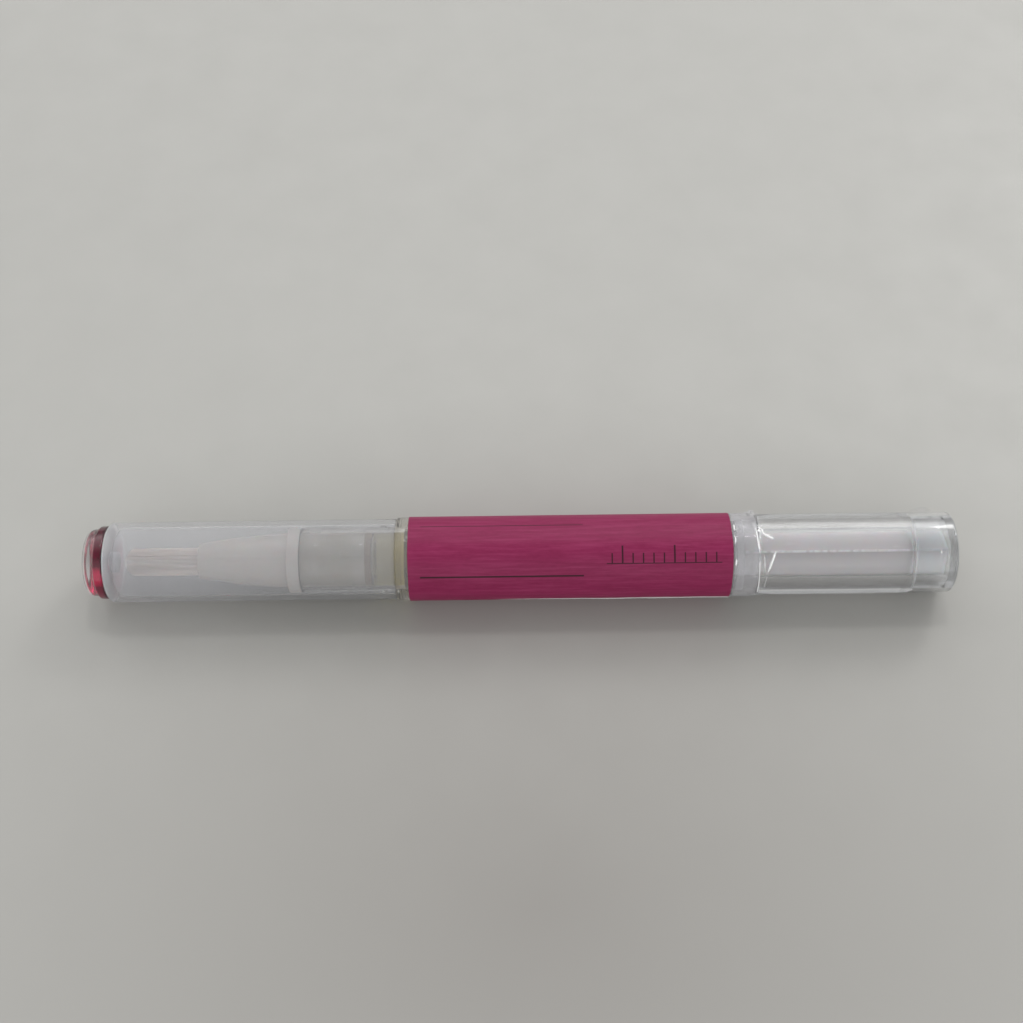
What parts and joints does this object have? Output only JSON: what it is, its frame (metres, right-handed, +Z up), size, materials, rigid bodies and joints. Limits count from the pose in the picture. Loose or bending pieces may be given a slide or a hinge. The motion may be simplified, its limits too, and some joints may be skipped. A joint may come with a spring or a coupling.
{
  "type": "nail oil pen",
  "caption": "Slim twist-up oil pen with a frosted pull-off cap over a brush tip, a labelled oil barrel with a piston, and a clear twist knob whose screw feeds the piston.",
  "frame": {"origin": "middle of the pen's length, on the surface that it lies on, under its axis", "axes": "+X along the pen from the brush end to the twist knob, +Z up from the surface that it lies on"},
  "size_m": [0.1272, 0.0124, 0.0124],
  "materials": {
    "clear_plastic": "polished clear moulding",
    "red_clear_plastic": "polished, dyed through",
    "frosted_plastic": "frosted, half clear",
    "natural_plastic": "moulded, half clear, fine rings",
    "white_plastic": "satin moulding",
    "milky_plastic": "milky extrusion",
    "acetal": "satin moulding",
    "nylon_bristle": "fine drawn filament",
    "spring_steel": "rolled strip",
    "seal_rubber": "matte",
    "oil": "clear yellowish liquid",
    "printed_film": "glossy, laminated",
    "clear_film": "shrunk, creased"
  },
  "bodies": {
    "barrel": {"barrel": "natural_plastic", "brush_ferrule": "white_plastic", "bristles": "nylon_bristle", "bristle_collar": "spring_steel", "feed_tube": "white_plastic", "plug_seal": "seal_rubber", "oil_fill": "oil", "label": "printed_film", "shrink_film": "clear_film", "guide_ring": "white_plastic", "ratchet_ring": "acetal"},
    "cap": {"cap_shell": "frosted_plastic", "end_disc": "red_clear_plastic", "end_dome": "clear_plastic"},
    "knob": {"twist_knob": "clear_plastic", "end_plug": "clear_plastic", "spindle": "acetal", "pawl_ring": "spring_steel", "retaining_ring": "white_plastic"},
    "plunger": {"piston": "white_plastic", "push_tube": "milky_plastic", "drive_nut": "acetal"}
  },
  "joints": [
    {"name": "cap_pull", "type": "slide", "parent": "barrel", "child": "cap", "axis": [-1, 0, 0], "range_m": [0, 0.05]},
    {"name": "knob_turn", "type": "hinge", "parent": "barrel", "child": "knob", "pos_m": [0.03483, 0, 0.00619], "axis": [-1, 0, 0], "range_deg": [0, 4320]},
    {"name": "rod_feed", "type": "slide", "parent": "barrel", "child": "plunger", "axis": [-1, 0, 0], "range_m": [0, 0.0312], "deforming": ["oil_fill"]}
  ],
  "couplings": [
    {"joint": "knob_turn", "follows": "rod_feed", "rad_per_m": 2416.6}
  ]
}
